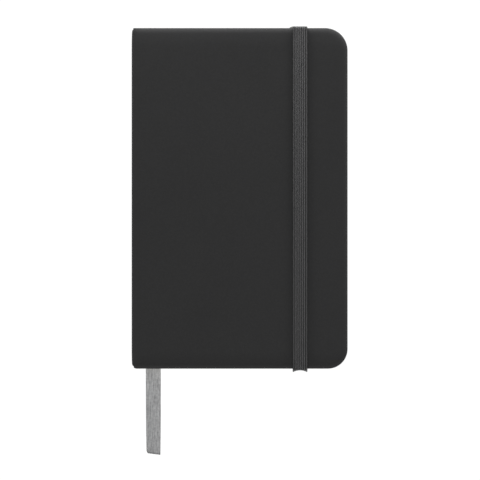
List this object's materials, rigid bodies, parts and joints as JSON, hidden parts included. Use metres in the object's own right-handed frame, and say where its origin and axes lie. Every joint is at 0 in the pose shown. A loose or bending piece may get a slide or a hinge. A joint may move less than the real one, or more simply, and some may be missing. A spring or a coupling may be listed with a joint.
{
  "type": "pocket notebook",
  "caption": "Hard-cover pocket notebook with sewn signatures, a wrap-round elastic closure band and a ribbon marker; the covers open flat at the middle.",
  "frame": {"origin": "under the middle of the closed covers, on the surface that the notebook lies on", "axes": "+X from the spine to the fore-edge, +Y from tail to head, +Z out of the front cover"},
  "size_m": [0.09, 0.1783, 0.015],
  "materials": {
    "cover_skin": "fine matte grain",
    "board": "dense grey binder's board, matte",
    "paper": "matte",
    "endpaper": "matte",
    "lining": "open gauze",
    "thread": "twisted",
    "elastic": "ribbed knit",
    "ribbon": "woven satin"
  },
  "bodies": {
    "back_cover": {"back_board": "board", "cover_skin_back": "cover_skin", "back_pastedown": "endpaper", "elastic_end_head": "elastic", "elastic_end_tail": "elastic"},
    "spine": {"cover_skin_spine": "cover_skin", "spine_strip": "board", "spine_lining": "lining", "sewing_thread_1": "thread", "sewing_thread_2": "thread", "sewing_thread_3": "thread", "sewing_thread_4": "thread", "sewing_thread_5": "thread"},
    "front_cover": {"front_board": "board", "cover_skin_front": "cover_skin", "front_pastedown": "endpaper"},
    "signature_01": {"signature_01": "paper", "front_flyleaf": "endpaper"},
    "signature_02": {"signature_02": "paper"},
    "signature_03": {"signature_03": "paper"},
    "signature_04": {"signature_04": "paper"},
    "signature_05": {"signature_05": "paper"},
    "signature_06": {"signature_06": "paper"},
    "signature_07": {"signature_07": "paper", "ribbon_marker": "ribbon"},
    "signature_08": {"signature_08": "paper"},
    "signature_09": {"signature_09": "paper"},
    "signature_10": {"signature_10": "paper"},
    "signature_11": {"signature_11": "paper"},
    "signature_12": {"signature_12": "paper", "back_flyleaf": "endpaper"},
    "elastic_band": {"elastic_band": "elastic"}
  },
  "joints": [
    {"name": "back_hinge", "type": "hinge", "parent": "back_cover", "child": "spine", "pos_m": [-0.0439, 0, 0.0018], "axis": [0, -1, 0], "range_deg": [0, 90]},
    {"name": "front_hinge", "type": "hinge", "parent": "spine", "child": "front_cover", "pos_m": [-0.0439, 0, 0.0132], "axis": [0, -1, 0], "range_deg": [0, 90]},
    {"name": "fold_01", "type": "hinge", "parent": "spine", "child": "signature_01", "pos_m": [-0.0439, 0, 0.0132], "axis": [0, -1, 0], "range_deg": [0, 90]},
    {"name": "fold_02", "type": "hinge", "parent": "spine", "child": "signature_02", "pos_m": [-0.04341, 0, 0.01271], "axis": [0, -1, 0], "range_deg": [0, 90]},
    {"name": "fold_03", "type": "hinge", "parent": "spine", "child": "signature_03", "pos_m": [-0.04292, 0, 0.01222], "axis": [0, -1, 0], "range_deg": [0, 90]},
    {"name": "fold_04", "type": "hinge", "parent": "spine", "child": "signature_04", "pos_m": [-0.04243, 0, 0.01173], "axis": [0, -1, 0], "range_deg": [0, 90]},
    {"name": "fold_05", "type": "hinge", "parent": "spine", "child": "signature_05", "pos_m": [-0.04194, 0, 0.01124], "axis": [0, -1, 0], "range_deg": [0, 90]},
    {"name": "fold_06", "type": "hinge", "parent": "spine", "child": "signature_06", "pos_m": [-0.04145, 0, 0.01075], "axis": [0, -1, 0], "range_deg": [0, 90]},
    {"name": "fold_07", "type": "hinge", "parent": "spine", "child": "signature_07", "pos_m": [-0.04145, 0, 0.00425], "axis": [0, -1, 0], "range_deg": [-90, 0]},
    {"name": "fold_08", "type": "hinge", "parent": "spine", "child": "signature_08", "pos_m": [-0.04194, 0, 0.00376], "axis": [0, -1, 0], "range_deg": [-90, 0]},
    {"name": "fold_09", "type": "hinge", "parent": "spine", "child": "signature_09", "pos_m": [-0.04243, 0, 0.00327], "axis": [0, -1, 0], "range_deg": [-90, 0]},
    {"name": "fold_10", "type": "hinge", "parent": "spine", "child": "signature_10", "pos_m": [-0.04292, 0, 0.00278], "axis": [0, -1, 0], "range_deg": [-90, 0]},
    {"name": "fold_11", "type": "hinge", "parent": "spine", "child": "signature_11", "pos_m": [-0.04341, 0, 0.00229], "axis": [0, -1, 0], "range_deg": [-90, 0]},
    {"name": "fold_12", "type": "hinge", "parent": "spine", "child": "signature_12", "pos_m": [-0.0439, 0, 0.0018], "axis": [0, -1, 0], "range_deg": [-90, 0]},
    {"name": "band_swing", "type": "hinge", "parent": "back_cover", "child": "elastic_band", "pos_m": [0.0252, 0, 0.0075], "axis": [0, 1, 0], "range_deg": [0, 180], "deforming": ["elastic_band"]}
  ],
  "couplings": [
    {"joint": "front_hinge", "follows": "back_hinge", "ratio": 1},
    {"joint": "fold_01", "follows": "back_hinge", "ratio": 1},
    {"joint": "fold_02", "follows": "back_hinge", "ratio": 1},
    {"joint": "fold_03", "follows": "back_hinge", "ratio": 1},
    {"joint": "fold_04", "follows": "back_hinge", "ratio": 1},
    {"joint": "fold_05", "follows": "back_hinge", "ratio": 1},
    {"joint": "fold_06", "follows": "back_hinge", "ratio": 1},
    {"joint": "fold_07", "follows": "back_hinge", "ratio": -1},
    {"joint": "fold_08", "follows": "back_hinge", "ratio": -1},
    {"joint": "fold_09", "follows": "back_hinge", "ratio": -1},
    {"joint": "fold_10", "follows": "back_hinge", "ratio": -1},
    {"joint": "fold_11", "follows": "back_hinge", "ratio": -1},
    {"joint": "fold_12", "follows": "back_hinge", "ratio": -1},
    {"joint": "band_swing", "follows": "back_hinge", "ratio": 2}
  ]
}
